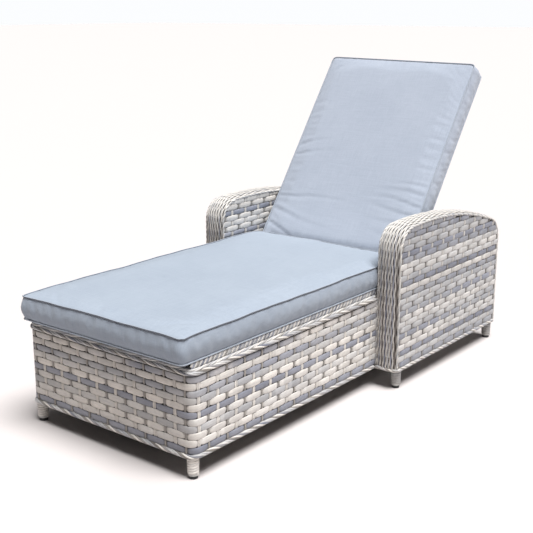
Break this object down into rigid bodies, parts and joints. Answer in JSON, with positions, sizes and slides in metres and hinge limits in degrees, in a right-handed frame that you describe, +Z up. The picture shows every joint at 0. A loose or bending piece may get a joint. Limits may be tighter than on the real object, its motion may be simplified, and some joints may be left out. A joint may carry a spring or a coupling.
{
  "type": "reclining sun lounger",
  "caption": "Reclining sun lounger: woven box base, two curved woven arms, a hinged back on a folding prop, and thick piped cushions.",
  "frame": {"origin": "middle of the lounger's box at rest, on the floor", "axes": "+Y from the foot end to the head end, +X to the sitter's left, +Z up"},
  "size_m": [0.888, 1.7326, 1.0849],
  "materials": {
    "frame_tube": "satin",
    "weave": "satin",
    "weave_wrap": "satin",
    "weave_rope": "satin",
    "glide_black": "matte",
    "zinc_steel": "satin",
    "bracket_steel": "satin",
    "cushion_fabric": "matte",
    "cushion_foam": "matte",
    "cushion_piping": "matte"
  },
  "bodies": {
    "base": {"top_rail_left": "weave_wrap", "top_rail_right": "weave_wrap", "top_rail_foot": "weave_wrap", "head_rail": "frame_tube", "bottom_side_rails": "frame_tube", "bottom_end_rails": "frame_tube", "base_uprights": "frame_tube", "deck_cross_bars": "frame_tube", "notch_rail_bar": "frame_tube", "seat_deck": "weave", "side_panel_left": "weave", "side_panel_right": "weave", "foot_panel": "weave", "head_panel": "weave", "base_top_rope": "weave_rope", "base_bottom_rope": "weave_rope", "head_rope": "weave_rope", "foot_leg_left": "weave_wrap", "foot_leg_right": "weave_wrap", "arm_front_leg_left": "weave_wrap", "arm_front_leg_right": "weave_wrap", "arm_rear_leg_left": "weave_wrap", "arm_rear_leg_right": "weave_wrap", "leg_glides": "glide_black", "arm_top_tube_left": "frame_tube", "arm_top_tube_right": "frame_tube", "arm_bottom_tube_left": "frame_tube", "arm_bottom_tube_right": "frame_tube", "arm_outer_panel_left": "weave", "arm_outer_panel_right": "weave", "arm_inner_panel_left": "weave", "arm_inner_panel_right": "weave", "arm_front_band_left": "weave_wrap", "arm_front_band_right": "weave_wrap", "arm_top_band_left": "weave_wrap", "arm_top_band_right": "weave_wrap", "arm_rear_band_left": "weave_wrap", "arm_rear_band_right": "weave_wrap", "arm_bottom_rope_left": "weave_rope", "arm_bottom_rope_right": "weave_rope", "arm_bolts": "zinc_steel", "arm_spacers": "zinc_steel", "hinge_brackets": "bracket_steel", "hinge_pins": "zinc_steel", "notch_rail_left": "bracket_steel", "notch_rail_right": "bracket_steel", "seat_cushion_cover": "cushion_fabric", "seat_cushion_foam": "cushion_foam", "seat_cushion_piping": "cushion_piping"},
    "backrest": {"back_side_tube_left": "frame_tube", "back_side_tube_right": "frame_tube", "back_cross_tubes": "frame_tube", "prop_pivot_rod": "frame_tube", "back_panel": "weave", "back_cushion_cover": "cushion_fabric", "back_cushion_foam": "cushion_foam", "back_cushion_piping": "cushion_piping"},
    "prop": {"prop_arms": "bracket_steel", "prop_foot_rod": "bracket_steel"}
  },
  "joints": [
    {"name": "back_recline", "type": "hinge", "parent": "base", "child": "backrest", "pos_m": [0, 0.37671, 0.335], "axis": [1, 0, 0], "range_deg": [-55, 0]},
    {"name": "prop_fold", "type": "hinge", "parent": "backrest", "child": "prop", "pos_m": [0, 0.49888, 0.50948], "axis": [1, 0, 0], "range_deg": [0, 110]}
  ],
  "couplings": [
    {"joint": "prop_fold", "follows": "back_recline", "ratio": -2}
  ]
}
